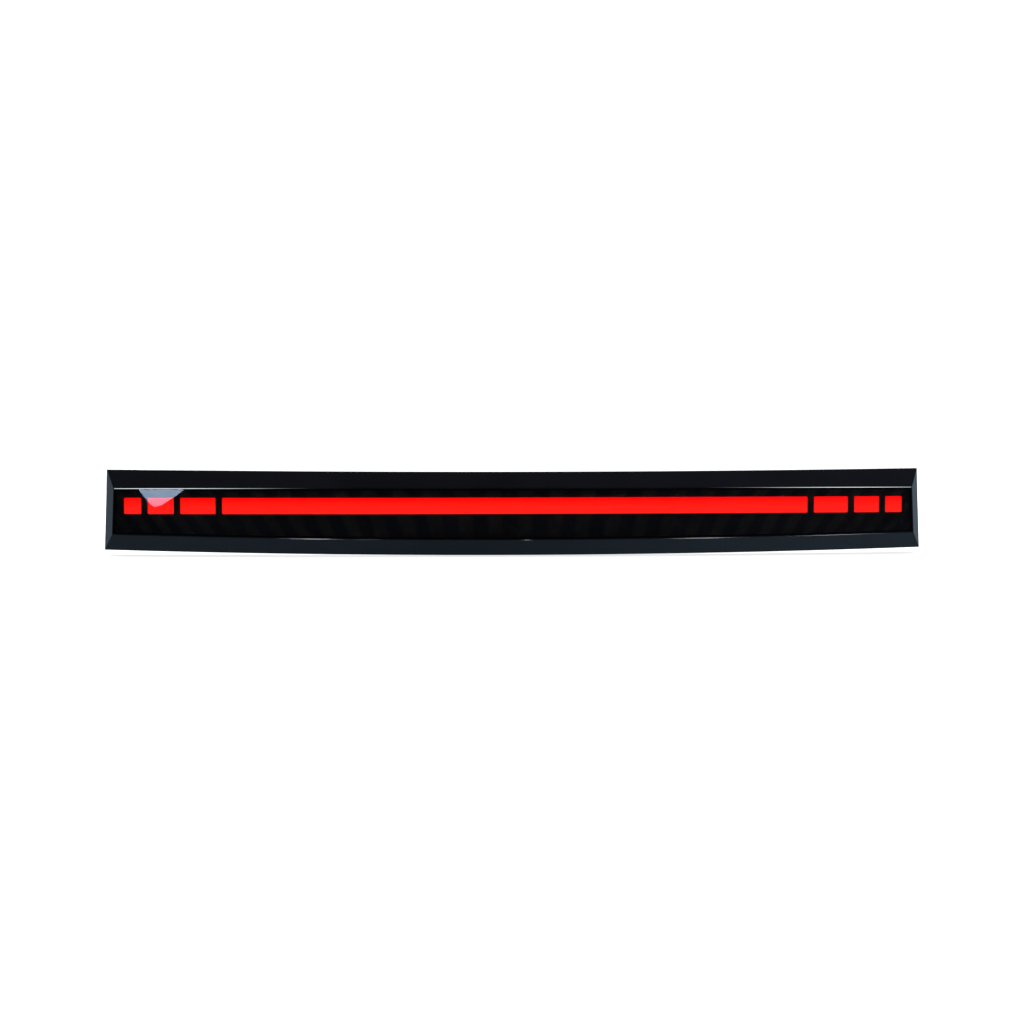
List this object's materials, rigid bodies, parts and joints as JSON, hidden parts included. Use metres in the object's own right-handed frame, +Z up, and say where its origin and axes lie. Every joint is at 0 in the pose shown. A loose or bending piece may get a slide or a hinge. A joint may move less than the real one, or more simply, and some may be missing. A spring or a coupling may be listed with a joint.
{
  "type": "third brake light",
  "caption": "Long, shallow high-level brake light: smoked bevelled lens over a row of red light tiles, housing with studs, spring clips and plug socket behind.",
  "frame": {"origin": "on the pocket floor where the seals of the two stud bosses press, midway between the two studs", "axes": "+Y out of the back of the lamp along the studs, -Y out through the lens, +X along the lamp, to the right when one looks at the lens, +Z up"},
  "size_m": [0.4212, 0.056, 0.0437],
  "materials": {
    "smoked_lens": "glossy smoked clear polycarbonate",
    "sealant": "soft matt black bead",
    "bezel_black": "gloss black",
    "red_diffuser": "frosted red",
    "light_box_white": "satin white",
    "board": "white solder mask, semi-matt",
    "led_package": "pale, with a clear window",
    "chip_black": "matt black",
    "capacitor_tan": "satin tan",
    "zinc_steel": "bright zinc plate",
    "housing_black": "fine-grained matt black",
    "foam": "open matt black foam",
    "socket_black": "satin black",
    "seal_orange": "satin orange silicone",
    "terminal_brass": "tin-plated, satin",
    "breather_grey": "satin dark grey",
    "membrane_white": "matt white",
    "spring_steel": "bright stainless strip"
  },
  "bodies": {
    "lamp": {"lens": "smoked_lens", "lens_sealant": "sealant", "bezel": "bezel_black", "light_box": "light_box_white", "lamp_board": "board", "leds": "led_package", "resistors": "chip_black", "driver_chips": "chip_black", "capacitors": "capacitor_tan", "protection_diode": "chip_black", "light_box_screws": "zinc_steel", "housing": "housing_black", "body_gasket": "foam", "mounting_studs": "zinc_steel", "stud_seals": "foam", "connector_socket": "socket_black", "connector_seal": "seal_orange", "terminal_pins": "terminal_brass", "socket_screws": "zinc_steel", "breather_cap": "breather_grey", "breather_membrane": "membrane_white", "diffuser_centre": "red_diffuser", "diffuser_left_inner": "red_diffuser", "diffuser_right_inner": "red_diffuser", "diffuser_left_middle": "red_diffuser", "diffuser_right_middle": "red_diffuser", "diffuser_left_outer": "red_diffuser", "diffuser_right_outer": "red_diffuser", "left_clip_core": "spring_steel", "right_clip_core": "spring_steel"},
    "left_upper_leaf": {"left_clip_upper_leaf": "spring_steel"},
    "left_lower_leaf": {"left_clip_lower_leaf": "spring_steel"},
    "right_upper_leaf": {"right_clip_upper_leaf": "spring_steel"},
    "right_lower_leaf": {"right_clip_lower_leaf": "spring_steel"}
  },
  "joints": [
    {"name": "left_upper_leaf_press", "type": "hinge", "parent": "lamp", "child": "left_upper_leaf", "pos_m": [-0.185, 0.0094, 0.003], "axis": [1, 0, 0], "range_deg": [0, 12], "stiffness_Nm_per_rad": 0.5},
    {"name": "left_lower_leaf_press", "type": "hinge", "parent": "lamp", "child": "left_lower_leaf", "pos_m": [-0.185, 0.0094, -0.003], "axis": [-1, 0, 0], "range_deg": [0, 12], "stiffness_Nm_per_rad": 0.5},
    {"name": "right_upper_leaf_press", "type": "hinge", "parent": "lamp", "child": "right_upper_leaf", "pos_m": [0.185, 0.0094, 0.003], "axis": [1, 0, 0], "range_deg": [0, 12], "stiffness_Nm_per_rad": 0.5},
    {"name": "right_lower_leaf_press", "type": "hinge", "parent": "lamp", "child": "right_lower_leaf", "pos_m": [0.185, 0.0094, -0.003], "axis": [-1, 0, 0], "range_deg": [0, 12], "stiffness_Nm_per_rad": 0.5}
  ]
}
